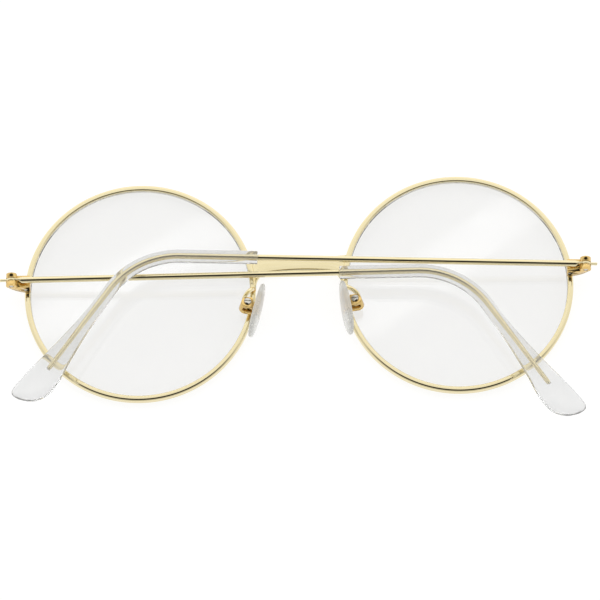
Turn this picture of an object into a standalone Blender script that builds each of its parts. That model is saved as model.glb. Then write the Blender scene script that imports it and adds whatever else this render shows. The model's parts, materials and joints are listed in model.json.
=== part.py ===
"""Round wire eyeglasses, lying on the fronts of their rims with both temples folded.

+X is the wearer's right, +Y is towards the brow and +Z is towards the wearer, so the flat
fronts of the rims stand on the plane Z = 0. The origin is the middle of the underside.

Each side is drawn once, with +X pointing outwards to the ear, and the left side is the mirror
image of that drawing. What turns is drawn about its own pin: an empty on the hinge pin holds
each temple, and an empty on the pad screw holds each nose pad.
"""

import math
from dataclasses import dataclass

import bmesh
import bpy
import numpy as np
from mathutils import Matrix, Vector

MM = 0.001

# Rims and lenses. The lens radius is to the crest of its bevelled edge.
LENS_RADIUS = 24.9 * MM
LENS_SPACING = 71.0 * MM
LENS_THICKNESS = 1.2 * MM
LENS_CURVE_RADIUS = 1000.0 * MM
LENS_CLEARANCE = 0.05 * MM
BEVEL_HEIGHT = 0.4 * MM
BEVEL_HALF_WIDTH = 0.5 * MM
RIM_WALL = 0.9 * MM
RIM_DEPTH = 2.0 * MM
RIM_ROUNDING = 0.55 * MM
RIM_CHAMFER = 0.15 * MM
RIM_STEPS = 64

# Bridge: a flat strap whose ends flare where they are soldered to the rims.
BRIDGE_HEIGHT = 3.0 * MM
BRIDGE_THICKNESS = 1.15 * MM
BRIDGE_RISE = 5.75 * MM
BRIDGE_ARCH = 0.35 * MM
BRIDGE_FLARE = 3.1 * MM
BRIDGE_FOOT_TOP = 7.7 * MM
BRIDGE_FOOT_BOTTOM = 0.1 * MM
BRIDGE_EDGE = 0.2 * MM

# Closing block and temple hinge, about the middle of the hinge pin.
HINGE_OUT = 2.55 * MM
HINGE_UP = 2.0 * MM
HINGE_BACK = 4.0 * MM
KNUCKLE_RADIUS = 1.2 * MM
KNUCKLE_HEIGHT = 1.15 * MM
BLOCK_WIDTH = 1.45 * MM
BLOCK_BELLY = 0.35 * MM
BLOCK_THROAT = 0.12 * MM
BLOCK_EDGE = 0.12 * MM
LOCK_SPLIT = 0.2 * MM
LOCK_SCREW_RADIUS = 0.45 * MM
LOCK_HEAD_RADIUS = 0.62 * MM
LOCK_OFFSET = 0.1 * MM
HINGE_SCREW_RADIUS = 0.5 * MM
HINGE_HEAD_RADIUS = 0.85 * MM
SCREW_HEAD_HEIGHT = 0.35 * MM
SCREW_SLOT_WIDTH = 0.22 * MM
SCREW_TIP_CHAMFER = 0.1 * MM
SCREW_STEPS = 24
HINGE_SLOT_TURN_DEG = 35.0
LOCK_SLOT_TURN_DEG = 20.0

# Temples: a straight wire, one bend over the ear, and a clear tip with a flat paddle.
WIRE_RADIUS = 0.7 * MM
CORE_RADIUS = 0.5 * MM
TEMPLE_STRAIGHT = 90.2 * MM
TEMPLE_BEND_RADIUS = 18.4 * MM
TEMPLE_BEND_DEG = 56.2
CORE_PAST_BEND = 23.2 * MM
TIP_MOUTH = 73.0 * MM
EYE_RADIUS = 1.15 * MM
EYE_THICKNESS = 0.5 * MM
TAIL_LENGTH = 2.6 * MM
TAIL_WIDTH = 0.8 * MM
NECK_FLAT = 0.2 * MM
TEMPLE_OPENING_DEG = 94.0

# Folded temples: the left one rises a little from its hinge, and the right one rises enough for
# its tip to pass over the left wire, a set distance above it.
LEFT_RISE_DEG = 1.3
CROSSING_PAST_BEND = 8.0 * MM
CROSSING_STACK = 2.16 * MM

# The tip's outline along the temple: distance past the bend, outer edge, inner edge and half
# the thickness, all measured from the core. Before the bend the sleeve is nearly round.
SLEEVE_RADIUS = 1.45 * MM
TIP_STATIONS = (
    (0.0, 1.30, 1.60, 1.30),
    (4.0, 1.25, 1.70, 1.25),
    (12.0, 1.70, 2.15, 1.10),
    (19.5, 2.55, 2.95, 1.00),
    (24.8, 3.25, 3.70, 0.95),
    (27.1, 3.50, 3.65, 0.92),
    (29.0, 3.65, 3.10, 0.88),
    (30.6, 3.70, 1.95, 0.80),
    (31.7, 3.55, 0.40, 0.62),
    (32.3, 3.10, -1.10, 0.35),
)

# Nose pads, about the middle of the pad screw.
PAD_LENGTH = 12.8 * MM
PAD_WIDTH = 6.6 * MM
PAD_THICKNESS = 1.5 * MM
PAD_OFF_BOX = 0.57 * MM
PAD_DROP = 1.3 * MM
PAD_BACK = 1.1 * MM
PAD_PIVOT_DOWN = 5.2 * MM
PAD_PIVOT_BACK = 3.0 * MM
PAD_SCREW_LEAN_DEG = 16.0
PAD_SCREW_RISE_DEG = 16.0
BOX_HALF = 1.35 * MM
BOX_SLOT = 0.9 * MM
BOX_WALL = 0.45 * MM
BOX_EDGE = 0.25 * MM
PAD_SCREW_RADIUS = 0.38 * MM
PAD_HEAD_RADIUS = 0.85 * MM
PAD_HEAD_HEIGHT = 0.45 * MM
PAD_HEAD_CHAMFER = 0.15 * MM
PAD_HEAD_SLOT = 0.25 * MM
INSERT_THICKNESS = 0.5 * MM
INSERT_LENGTH = 5.0 * MM
INSERT_WIDTH = 3.0 * MM
STEM_BITE = 0.4 * MM
ARM_RADIUS = 0.5 * MM
ARM_FOOT_DOWN = 0.4 * MM
ARM_END_OUT = 0.3 * MM
ARM_REACH = 1.6 * MM

# Clearances, each between two pieces that touch or run on each other.
SEAT = 0.05 * MM
RUNNING = 0.045 * MM
SIDE_PLAY = 0.06 * MM
SLOT_MARGIN = 0.12 * MM
WIRE_OVER_BLOCK = 0.22 * MM
BORE_CLEARANCE = 0.07 * MM
TAB_MARGIN = 0.1 * MM

# Worked out from the values above.
RIM_INNER = LENS_RADIUS + LENS_CLEARANCE - BEVEL_HEIGHT
RIM_OUTER = LENS_RADIUS + LENS_CLEARANCE + RIM_WALL
HALF_SPACING = LENS_SPACING / 2
LEAF = EYE_THICKNESS / 2 + SIDE_PLAY
HINGE_TOP = LEAF + KNUCKLE_HEIGHT
BLOCK_FLOOR = SEAT - HINGE_BACK
BLOCK_CEILING = -WIRE_RADIUS - WIRE_OVER_BLOCK
PIN_SPACING = 2 * (HALF_SPACING + RIM_OUTER + HINGE_OUT)
CROSSING = TEMPLE_STRAIGHT + CROSSING_PAST_BEND
LEFT_HEIGHT = (PIN_SPACING - CROSSING) * math.sin(math.radians(LEFT_RISE_DEG))
RIGHT_RISE_DEG = math.degrees(math.asin((CROSSING_STACK + LEFT_HEIGHT) / CROSSING))
PAD_SETBACK = BOX_HALF + PAD_OFF_BOX
BEND_ARC = TEMPLE_BEND_RADIUS * math.radians(TEMPLE_BEND_DEG)
BEND_END = TEMPLE_STRAIGHT + BEND_ARC
CORE_END = BEND_END + CORE_PAST_BEND


@dataclass(frozen=True)
class Side:
    """One side of the spectacles and how its hinge and its pad are set."""

    name: str
    sign: int
    pin_lean_deg: float
    rest_rise_deg: float
    pad_pivot_in: float
    pad_lean_deg: float
    pad_splay_deg: float

    def label(self, piece):
        """The node name of one of this side's pieces."""
        return f"{self.name}_{piece}"


# The temples cross when folded, so the right one is set higher and lies on top of the left one.
SIDES = (
    Side("right", 1, 2.3, RIGHT_RISE_DEG, 3.1 * MM, 8.0, 9.0),
    Side("left", -1, -0.8, LEFT_RISE_DEG, 2.2 * MM, 15.0, 1.0),
)


# ---------------------------------------------------------------- scene and materials


def clear_scene():
    """Removes the startup objects."""
    for obj in list(bpy.data.objects):
        bpy.data.objects.remove(obj, do_unlink=True)


def new_collection(name, shown):
    """A collection in the scene; helpers go in one that isn't rendered."""
    made = bpy.data.collections.new(name)
    made.hide_render = not shown
    bpy.context.scene.collection.children.link(made)
    return made


def new_material(name, colour, roughness, metallic, transmission=0.0):
    """A Principled material."""
    material = bpy.data.materials.new(name)
    material.use_nodes = True
    shader = material.node_tree.nodes["Principled BSDF"]
    shader.inputs["Base Color"].default_value = (*colour, 1.0)
    shader.inputs["Roughness"].default_value = roughness
    shader.inputs["Metallic"].default_value = metallic
    shader.inputs["Transmission Weight"].default_value = transmission
    material.diffuse_color = (*colour, 1.0)
    return material


class Workshop:
    """The collections, the materials and the root empty that every piece hangs from."""

    def __init__(self):
        clear_scene()
        self.parts = new_collection("round_wire_eyeglasses", True)
        self.cutters = new_collection("cutters", False)
        self.gold = new_material("gold_plate", (0.83, 0.62, 0.26), 0.16, 1.0)
        self.steel = new_material("screw_steel", (0.62, 0.62, 0.60), 0.25, 1.0)
        self.lens = new_material("lens_plastic", (0.93, 0.94, 0.94), 0.03, 0.0, 0.95)
        self.tip = new_material("tip_plastic", (0.92, 0.92, 0.90), 0.08, 0.0, 0.85)
        self.pad = new_material("pad_silicone", (0.80, 0.81, 0.81), 0.35, 0.0, 0.60)
        self.root = self.empty("frame_origin", None)

    def empty(self, name, parent, location=(0.0, 0.0, 0.0), rotation=None):
        """An empty that others hang from."""
        made = bpy.data.objects.new(name, None)
        made.empty_display_size = 3 * MM
        self.parts.objects.link(made)
        made.parent = parent
        turn = rotation or Matrix.Identity(3)
        made.matrix_local = Matrix.LocRotScale(Vector(location), turn.to_quaternion(), None)
        return made

    def piece(self, name, data, parent, material):
        """A shown object made from a mesh or a curve, under its parent empty."""
        made = bpy.data.objects.new(name, data)
        self.parts.objects.link(made)
        made.parent = parent
        data.materials.append(material)
        return made

    def cutter(self, name, mesh, parent):
        """A hidden mesh that Booleans use."""
        made = bpy.data.objects.new(name, mesh)
        self.cutters.objects.link(made)
        made.parent = parent
        made.hide_render = True
        made.display_type = "WIRE"
        return made


# ---------------------------------------------------------------- modelling helpers


def mesh_of(name, grid, sign=1):
    """The mesh of a bmesh, mirrored in X for the left side, with its normals facing out."""
    if sign < 0:
        bmesh.ops.scale(grid, vec=(-1, 1, 1), verts=grid.verts)
    bmesh.ops.recalc_face_normals(grid, faces=grid.faces)
    mesh = bpy.data.meshes.new(name)
    grid.to_mesh(mesh)
    grid.free()
    mesh.shade_smooth()
    mesh.set_sharp_from_angle(angle=math.radians(35))
    return mesh


def boolean(obj, other, operation):
    """Cuts a cutter from an object, or joins one to it."""
    step = obj.modifiers.new(f"{operation.lower()}_{other.name}", "BOOLEAN")
    step.operation = operation
    step.object = other
    step.solver = "EXACT"


def cylinder(radius, low, high, axis, centre=(0.0, 0.0), sides=24):
    """A bmesh cylinder from low to high along Y or Z, about a centre in the other two axes."""
    grid = bmesh.new()
    bmesh.ops.create_cone(
        grid, cap_ends=True, segments=sides, radius1=radius, radius2=radius, depth=high - low
    )
    middle = (low + high) / 2
    if axis == "Y":
        bmesh.ops.rotate(grid, matrix=Matrix.Rotation(math.pi / 2, 3, "X"), verts=grid.verts)
        place = (centre[0], middle, centre[1])
    else:
        place = (centre[0], centre[1], middle)
    bmesh.ops.translate(grid, vec=place, verts=grid.verts)
    return grid


def block(low, high):
    """A bmesh box between two corners."""
    grid = bmesh.new()
    size = Vector(high) - Vector(low)
    bmesh.ops.create_cube(grid, size=1.0)
    bmesh.ops.scale(grid, vec=size, verts=grid.verts)
    bmesh.ops.translate(grid, vec=(Vector(low) + Vector(high)) / 2, verts=grid.verts)
    return grid


def loft(rings):
    """A closed bmesh skin over a list of rings of equal length, with a flat cap at each end."""
    grid = bmesh.new()
    rows = [[grid.verts.new(point) for point in ring] for ring in rings]
    for near, far in zip(rows, rows[1:]):
        for i in range(len(near)):
            j = (i + 1) % len(near)
            grid.faces.new((near[i], near[j], far[j], far[i]))
    grid.faces.new(rows[0])
    grid.faces.new(rows[-1])
    return grid


def extruded(name, outline, low, high):
    """A bmesh plate: a closed outline in XY, as a filled 2D curve, extruded from low to high."""
    curve = bpy.data.curves.new(name, "CURVE")
    curve.dimensions = "2D"
    curve.fill_mode = "BOTH"
    curve.extrude = (high - low) / 2
    spline = curve.splines.new("POLY")
    spline.points.add(len(outline) - 1)
    for point, (x, y) in zip(spline.points, outline):
        point.co = (x, y, 0.0, 1.0)
    spline.use_cyclic_u = True
    holder = bpy.data.objects.new(name, curve)
    bpy.context.scene.collection.objects.link(holder)
    graph = bpy.context.evaluated_depsgraph_get()
    solid = bpy.data.meshes.new_from_object(holder.evaluated_get(graph))
    bpy.data.objects.remove(holder, do_unlink=True)
    grid = bmesh.new()
    grid.from_mesh(solid)
    bmesh.ops.remove_doubles(grid, verts=grid.verts, dist=0.001 * MM)
    bmesh.ops.translate(grid, vec=(0, 0, (low + high) / 2), verts=grid.verts)
    return grid


def upright(grid):
    """Turns a plate drawn in XY so that its outline lies in XZ and its thickness runs along Y."""
    bmesh.ops.rotate(grid, matrix=Matrix.Rotation(math.pi / 2, 3, "X"), verts=grid.verts)
    bmesh.ops.scale(grid, vec=(1, -1, 1), verts=grid.verts)
    return grid


def soften(obj, width, segments=2):
    """Rounds the sharp edges of a piece."""
    step = obj.modifiers.new("rounded_edges", "BEVEL")
    step.width = width
    step.segments = segments
    step.limit_method = "ANGLE"
    step.angle_limit = math.radians(50)


def profile_mesh(name, profile):
    """A mesh holding a profile in XZ, for a Screw modifier to turn about Z."""
    mesh = bpy.data.meshes.new(name)
    closed = profile[0] == profile[-1]
    points = profile[:-1] if closed else profile
    edges = [(i, i + 1) for i in range(len(points) - 1)]
    if closed:
        edges.append((len(points) - 1, 0))
    mesh.from_pydata([(x, 0.0, z) for x, z in points], edges, [])
    return mesh


def screw(obj, steps):
    """Turns a profile a full circle about the object's own Z."""
    step = obj.modifiers.new("turned", "SCREW")
    step.axis = "Z"
    step.angle = math.tau
    step.steps = steps
    step.render_steps = steps
    step.use_merge_vertices = True
    step.merge_threshold = 0.0001 * MM
    step.use_smooth_shade = True


def arc(centre, radius, start_deg, end_deg, count):
    """Points along an arc, both ends included."""
    angles = np.radians(np.linspace(start_deg, end_deg, count))
    return [
        (centre[0] + radius * math.cos(a), centre[1] + radius * math.sin(a)) for a in angles
    ]


# ---------------------------------------------------------------- rims, lenses and bridge


def rim_profile():
    """The rim's section: flat front and back, rounded outside, a V groove inside."""
    r = RIM_ROUNDING
    middle = RIM_DEPTH / 2
    mouth = BEVEL_HALF_WIDTH + LENS_CLEARANCE
    outer = arc((RIM_OUTER - r, RIM_DEPTH - r), r, 90, 0, 4) + arc(
        (RIM_OUTER - r, r), r, 0, -90, 4
    )
    inner = [
        (RIM_INNER + RIM_CHAMFER, 0.0),
        (RIM_INNER, RIM_CHAMFER),
        (RIM_INNER, middle - mouth),
        (RIM_INNER + BEVEL_HEIGHT, middle),
        (RIM_INNER, middle + mouth),
        (RIM_INNER, RIM_DEPTH - RIM_CHAMFER),
        (RIM_INNER + RIM_CHAMFER, RIM_DEPTH),
    ]
    return outer + inner + outer[:1]


def lens_profile():
    """The lens's section: a shallow meniscus, bulging to the front, with a V edge."""
    middle = RIM_DEPTH / 2
    body = LENS_RADIUS - BEVEL_HEIGHT
    half = LENS_THICKNESS / 2

    def bulge(r):
        return (body**2 - r**2) / (2 * LENS_CURVE_RADIUS)

    radii = (0.0, body * 0.5, body)
    back = [(r, middle + half - bulge(r)) for r in radii]
    front = [(r, middle - half - bulge(r)) for r in reversed(radii)]
    edge = [
        (body, middle + BEVEL_HALF_WIDTH),
        (LENS_RADIUS, middle),
        (body, middle - BEVEL_HALF_WIDTH),
    ]
    return back + edge + front


def make_rim_and_lens(shop, side):
    """A split rim with its lens, both turned about the lens's own centre."""
    centre = shop.empty(
        side.label("lens_centre"), shop.root, (side.sign * HALF_SPACING, 0.0, 0.0)
    )
    profile = profile_mesh(side.label("rim"), rim_profile())
    rim = shop.piece(side.label("rim"), profile, centre, shop.gold)
    screw(rim, RIM_STEPS)
    reach = RIM_OUTER + RIM_WALL
    split = block(
        (RIM_INNER - RIM_WALL, HINGE_UP - LOCK_SPLIT / 2, -RIM_DEPTH),
        (reach, HINGE_UP + LOCK_SPLIT / 2, 2 * RIM_DEPTH),
    )
    mesh = mesh_of(side.label("rim_split"), split, side.sign)
    boolean(rim, shop.cutter(side.label("rim_split"), mesh, centre), "DIFFERENCE")

    profile = profile_mesh(side.label("lens"), lens_profile())
    lens = shop.piece(side.label("lens"), profile, centre, shop.lens)
    screw(lens, RIM_STEPS)


def rim_side_x(y):
    """How far from the middle the bridge may reach at a height, clear of the rim."""
    reach = RIM_OUTER + SEAT
    return HALF_SPACING - math.sqrt(reach**2 - y**2)


def bridge_outline():
    """Half of the bridge is drawn from its middle to the rim and back, then mirrored."""
    low = BRIDGE_RISE - BRIDGE_HEIGHT / 2
    high = BRIDGE_RISE + BRIDGE_HEIGHT / 2
    end = rim_side_x(BRIDGE_FOOT_BOTTOM)
    start = end - BRIDGE_FLARE
    turn = np.linspace(0.0, 1.0, 8)
    straight = [(start * t, low - BRIDGE_ARCH * t * t) for t in (0.0, 0.5)]
    under = [
        (
            start + (end - start) * math.sin(t * math.pi / 2),
            BRIDGE_FOOT_BOTTOM + (low - BRIDGE_ARCH - BRIDGE_FOOT_BOTTOM) * math.cos(t * math.pi / 2),
        )
        for t in turn
    ]
    heights = np.linspace(BRIDGE_FOOT_BOTTOM, BRIDGE_FOOT_TOP, 8)[1:]
    foot = [(rim_side_x(y), y) for y in heights]
    over = [
        (foot[-1][0] * (1 - t), high + (BRIDGE_FOOT_TOP - high) * (1 - t) ** 2)
        for t in (0.25, 0.5, 0.75, 1.0)
    ]
    half = straight + under + foot + over
    return half + [(-x, y) for x, y in reversed(half[1:-1])]


def make_bridge(shop):
    """The strap between the rims, in the middle of their depth."""
    middle = RIM_DEPTH / 2
    plate = extruded(
        "bridge",
        bridge_outline(),
        middle - BRIDGE_THICKNESS / 2,
        middle + BRIDGE_THICKNESS / 2,
    )
    bridge = shop.piece("bridge", mesh_of("bridge", plate), shop.root, shop.gold)
    soften(bridge, BRIDGE_EDGE)


# ---------------------------------------------------------------- closing block and hinge


def endpiece_outline():
    """The closing block seen along the hinge pin: it stands on the back of the rim, leans
    outwards with a rounded belly, and ends in a round knuckle about the pin."""
    inner = -HINGE_OUT - BLOCK_WIDTH
    knuckle = arc((0.0, 0.0), KNUCKLE_RADIUS, -52, 205, 18)
    toe = Vector((-HINGE_OUT, BLOCK_FLOOR))
    chin = Vector(knuckle[0])
    outward = Vector((chin.y - toe.y, toe.x - chin.x)).normalized()
    belly = [
        tuple(toe.lerp(chin, t) + outward * BLOCK_BELLY * math.sin(math.pi * t))
        for t in (0.25, 0.5, 0.75)
    ]
    throat = (knuckle[-1][0] - BLOCK_THROAT, BLOCK_CEILING)
    return (
        [(inner, BLOCK_FLOOR), tuple(toe)] + belly + knuckle + [throat, (inner, BLOCK_CEILING)]
    )


def hinge_slot_outline():
    """The room for the eye all round the pin, and for its tail from folded to open."""
    eye = KNUCKLE_RADIUS + SLOT_MARGIN
    tail = TAIL_LENGTH + SLOT_MARGIN
    spread = math.degrees(math.asin(TAIL_WIDTH / 2 / EYE_RADIUS)) + 2
    return arc((0.0, 0.0), tail, -TEMPLE_OPENING_DEG - spread, spread, 14) + arc(
        (0.0, 0.0), eye, spread, 360 - TEMPLE_OPENING_DEG - spread, 22
    )


def screw_profile(shank, head, tip, top, head_height):
    """A countersunk screw standing on its end: its shank, a cone and a flat head."""
    return [
        (0.0, top),
        (head, top),
        (head, top - head_height / 3),
        (shank, top - head_height),
        (shank, tip + SCREW_TIP_CHAMFER),
        (shank - SCREW_TIP_CHAMFER, tip),
        (0.0, tip),
    ]


def lock_place():
    """The lock screw's centre, in the middle of the block behind the rim."""
    return (-HINGE_OUT - BLOCK_WIDTH / 2 + LOCK_OFFSET, (BLOCK_FLOOR + BLOCK_CEILING) / 2)


def make_screw(shop, name, parent, spec, place, flip, slot_deg, sign):
    """A slotted screw along the parent's Y, with its head up, or down if flipped."""
    shank, head, tip, top, head_height = spec
    holder = shop.empty(
        f"{name}_axis",
        parent,
        (sign * place[0], 0.0, place[1]),
        Matrix.Rotation(math.pi / 2 if flip else -math.pi / 2, 3, "X"),
    )
    profile = profile_mesh(name, screw_profile(shank, head, tip, top, head_height))
    made = shop.piece(name, profile, holder, shop.steel)
    screw(made, SCREW_STEPS)
    half = SCREW_SLOT_WIDTH / 2
    slot = block((-2 * head, -half, top - head_height / 2), (2 * head, half, top + head))
    bmesh.ops.rotate(
        slot, matrix=Matrix.Rotation(math.radians(slot_deg), 3, "Z"), verts=slot.verts
    )
    mesh = mesh_of(f"{name}_slot", slot)
    boolean(made, shop.cutter(f"{name}_slot", mesh, holder), "DIFFERENCE")


def countersink(spec, clearance):
    """The hole for a screw, standing on its end like the screw."""
    shank, head, tip, top, head_height = spec
    return [
        (0.0, top + head),
        (head + clearance, top + head),
        (head + clearance, top - head_height / 3 - clearance),
        (shank + clearance, top - head_height - clearance),
        (shank + clearance, tip - head),
        (0.0, tip - head),
    ]


def hole_cutter(shop, name, parent, spec, place, flip, clearance, sign):
    """A turned cutter that leaves a screw its running room."""
    holder = shop.empty(
        f"{name}_axis",
        parent,
        (sign * place[0], 0.0, place[1]),
        Matrix.Rotation(math.pi / 2 if flip else -math.pi / 2, 3, "X"),
    )
    made = shop.cutter(name, profile_mesh(name, countersink(spec, clearance)), holder)
    screw(made, SCREW_STEPS)
    return made


HINGE_SCREW = (HINGE_SCREW_RADIUS, HINGE_HEAD_RADIUS, -HINGE_TOP, HINGE_TOP, SCREW_HEAD_HEIGHT)
LOCK_SCREW = (LOCK_SCREW_RADIUS, LOCK_HEAD_RADIUS, -HINGE_TOP, HINGE_TOP, SCREW_HEAD_HEIGHT)


def make_closing_block(shop, side, pin):
    """Both halves of the block, the screw that closes them and the pin of the hinge."""
    slot = mesh_of(
        side.label("hinge_slot"),
        upright(extruded("hinge_slot", hinge_slot_outline(), -LEAF, LEAF)),
        side.sign,
    )
    hinge_slot = shop.cutter(side.label("hinge_slot"), slot, pin)
    pin_hole = hole_cutter(
        shop, side.label("pin_hole"), pin, HINGE_SCREW, (0.0, 0.0), False, RUNNING, side.sign
    )
    lock_hole = hole_cutter(
        shop, side.label("lock_hole"), pin, LOCK_SCREW, lock_place(), True, RUNNING, side.sign
    )
    halves = {
        "upper_endpiece": (LOCK_SPLIT / 2, HINGE_TOP),
        "lower_endpiece": (-HINGE_TOP, -LOCK_SPLIT / 2),
    }
    for name, (low, high) in halves.items():
        plate = upright(extruded(name, endpiece_outline(), low, high))
        mesh = mesh_of(side.label(name), plate, side.sign)
        half = shop.piece(side.label(name), mesh, pin, shop.gold)
        soften(half, BLOCK_EDGE, 1)
        for cutter in (hinge_slot, pin_hole, lock_hole):
            boolean(half, cutter, "DIFFERENCE")
    make_screw(
        shop,
        side.label("hinge_screw"),
        pin,
        HINGE_SCREW,
        (0.0, 0.0),
        False,
        HINGE_SLOT_TURN_DEG,
        side.sign,
    )
    make_screw(
        shop,
        side.label("lock_screw"),
        pin,
        LOCK_SCREW,
        lock_place(),
        True,
        LOCK_SLOT_TURN_DEG,
        side.sign,
    )


# ---------------------------------------------------------------- temples


def temple_point(distance):
    """A point on the temple's middle line and the direction of its outer edge there.

    The line runs inwards from the pin along -X, and bends over the ear towards -Y."""
    bent = min(max(distance - TEMPLE_STRAIGHT, 0.0), BEND_ARC) / TEMPLE_BEND_RADIUS
    past = max(distance - BEND_END, 0.0)
    x = -min(distance, TEMPLE_STRAIGHT) - TEMPLE_BEND_RADIUS * math.sin(bent)
    y = -TEMPLE_BEND_RADIUS * (1 - math.cos(bent))
    along = Vector((-math.cos(bent), -math.sin(bent), 0.0))
    outer = Vector((-math.sin(bent), math.cos(bent), 0.0))
    return Vector((x, y, 0.0)) + along * past, outer


def temple_ring(distance, outer_edge, inner_edge, half_thickness, sides, squareness=2.0):
    """A ring square to the temple's middle line: a superellipse between two edges."""
    point, outer = temple_point(distance)
    centre = point + outer * (outer_edge - inner_edge) / 2
    half = (outer_edge + inner_edge) / 2
    ring = []
    for angle in np.linspace(0.0, math.tau, sides, endpoint=False):
        c = math.copysign(abs(math.cos(angle)) ** (2 / squareness), math.cos(angle))
        s = math.copysign(abs(math.sin(angle)) ** (2 / squareness), math.sin(angle))
        ring.append(centre + outer * half * c + Vector((0, 0, half_thickness * s)))
    return ring


def path_stations(start, end, straight_step, bend_step):
    """Distances along the temple: sparse where it is straight, closer through the bend."""
    marks = [start, end]
    for low, high, step in (
        (0.0, TEMPLE_STRAIGHT, straight_step),
        (TEMPLE_STRAIGHT, BEND_END, bend_step),
        (BEND_END, BEND_END + TEMPLE_STRAIGHT, straight_step),
    ):
        count = max(1, round((high - low) / step))
        marks += [low + (high - low) * i / count for i in range(count + 1)]
    return sorted({round(m, 7) for m in marks if start <= m <= end})


def make_temple_wire(shop, side, pin):
    """The wire: a flat eye about the pin, a stop tail behind it, then a round wire that steps
    down to a thinner core where the tip begins."""
    sides = 12
    neck = KNUCKLE_RADIUS + NECK_FLAT
    flat = EYE_THICKNESS / 2
    rings = [
        temple_ring(0.4 * EYE_RADIUS, flat, flat, 0.85 * EYE_RADIUS, sides, 4.0),
        temple_ring(neck, flat, flat, 0.75 * EYE_RADIUS, sides, 4.0),
        temple_ring(neck + MM, WIRE_RADIUS, WIRE_RADIUS, WIRE_RADIUS, sides),
    ]
    shoulder = TIP_MOUTH - SEAT
    rings += [
        temple_ring(d, WIRE_RADIUS, WIRE_RADIUS, WIRE_RADIUS, sides)
        for d in (shoulder / 2, shoulder)
    ]
    rings += [
        temple_ring(d, CORE_RADIUS, CORE_RADIUS, CORE_RADIUS, sides)
        for d in path_stations(shoulder, CORE_END, 15 * MM, 1.6 * MM)
    ]
    wire = shop.piece(
        side.label("temple_wire"),
        mesh_of(side.label("temple_wire"), loft(rings), side.sign),
        pin,
        shop.gold,
    )
    eye = cylinder(EYE_RADIUS, -flat, flat, "Y", sides=28)
    tail = block((0.3 * EYE_RADIUS, -flat, -TAIL_WIDTH / 2), (TAIL_LENGTH, flat, TAIL_WIDTH / 2))
    for name, grid in (("eye", eye), ("tail", tail)):
        mesh = mesh_of(side.label(f"temple_{name}"), grid, side.sign)
        boolean(wire, shop.cutter(side.label(f"temple_{name}"), mesh, pin), "UNION")
    bore = cylinder(HINGE_SCREW_RADIUS + RUNNING, -2 * flat, 2 * flat, "Y", sides=SCREW_STEPS)
    mesh = mesh_of(side.label("eye_bore"), bore, side.sign)
    boolean(wire, shop.cutter(side.label("eye_bore"), mesh, pin), "DIFFERENCE")


def tip_edges(distance):
    """The tip's outer edge, inner edge and half thickness at a distance along the temple."""
    mouth = (TIP_MOUTH, SLEEVE_RADIUS, SLEEVE_RADIUS, SLEEVE_RADIUS - 0.1 * MM)
    turn_in = (TEMPLE_STRAIGHT, 1.40 * MM, 1.52 * MM, SLEEVE_RADIUS - 0.12 * MM)
    table = [mouth, turn_in] + [
        (BEND_END + s * MM, a * MM, b * MM, c * MM) for s, a, b, c in TIP_STATIONS
    ]
    marks = np.array([row[0] for row in table])
    return [float(np.interp(distance, marks, [row[i] for row in table])) for i in (1, 2, 3)]


def make_temple_tip(shop, side, pin):
    """The clear tip, as one skin that runs up the blind bore, round the mouth and down the
    outside to the end of the paddle."""
    sides = 12
    bore = CORE_RADIUS + BORE_CLEARANCE
    core_stations = path_stations(TIP_MOUTH, CORE_END + BORE_CLEARANCE, 15 * MM, 1.6 * MM)
    inside = [temple_ring(d, bore, bore, bore, sides) for d in reversed(core_stations)]
    marks = path_stations(TIP_MOUTH, BEND_END, 9.5 * MM, 1.6 * MM)
    marks += [BEND_END + row[0] * MM for row in TIP_STATIONS[1:]]
    outside = [temple_ring(d, *tip_edges(d), sides, 2.3) for d in marks]
    shop.piece(
        side.label("temple_tip"),
        mesh_of(side.label("temple_tip"), loft(inside + outside), side.sign),
        pin,
        shop.tip,
    )


# ---------------------------------------------------------------- nose pads


def pad_frame(side):
    """The nose pad's place in the pad pin's frame, as a matrix: its own +Y runs up its length,
    its +X looks away from the nose and its +Z along its width."""
    pin_turn = pad_pin_rotation(side)
    lean = Matrix.Rotation(side.sign * math.radians(side.pad_lean_deg), 3, "Z")
    splay = Matrix.Rotation(side.sign * math.radians(side.pad_splay_deg), 3, "Y")
    turn = pin_turn.transposed() @ lean @ splay
    offset = pin_turn.transposed() @ Vector((0.0, -PAD_DROP, PAD_BACK))
    offset += Vector((-side.sign * PAD_SETBACK, 0.0, 0.0))
    return Matrix.LocRotScale(offset, turn.to_quaternion(), None)


def pad_pin_rotation(side):
    """The pad screw leans towards the nose and rises as it runs back to the wearer."""
    rise = Matrix.Rotation(-math.radians(PAD_SCREW_RISE_DEG), 3, "X")
    lean = Matrix.Rotation(-side.sign * math.radians(PAD_SCREW_LEAN_DEG), 3, "Y")
    return lean @ rise


def pad_ring(scale, depth, sides=24):
    """A ring of the pad: an egg, narrower at the top, at a depth through its thickness."""
    ring = []
    for angle in np.linspace(0.0, math.tau, sides, endpoint=False):
        y = PAD_LENGTH / 2 * math.cos(angle)
        taper = 1 - 0.16 * math.cos(angle)
        ring.append((-depth, y * scale, PAD_WIDTH / 2 * taper * math.sin(angle) * scale))
    return ring


def make_nose_pad(shop, side, pad_place):
    """The soft pad: flat behind, domed towards the nose, with a pocket for its insert."""
    steps = ((0.86, 0.0), (0.97, 0.12), (1.0, 0.35), (0.93, 0.65), (0.74, 0.87), (0.4, 1.0))
    rings = [pad_ring(scale, depth * PAD_THICKNESS) for scale, depth in steps]
    mesh = mesh_of(side.label("nose_pad"), loft(rings), side.sign)
    return shop.piece(side.label("nose_pad"), mesh, pad_place, shop.pad)


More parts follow.
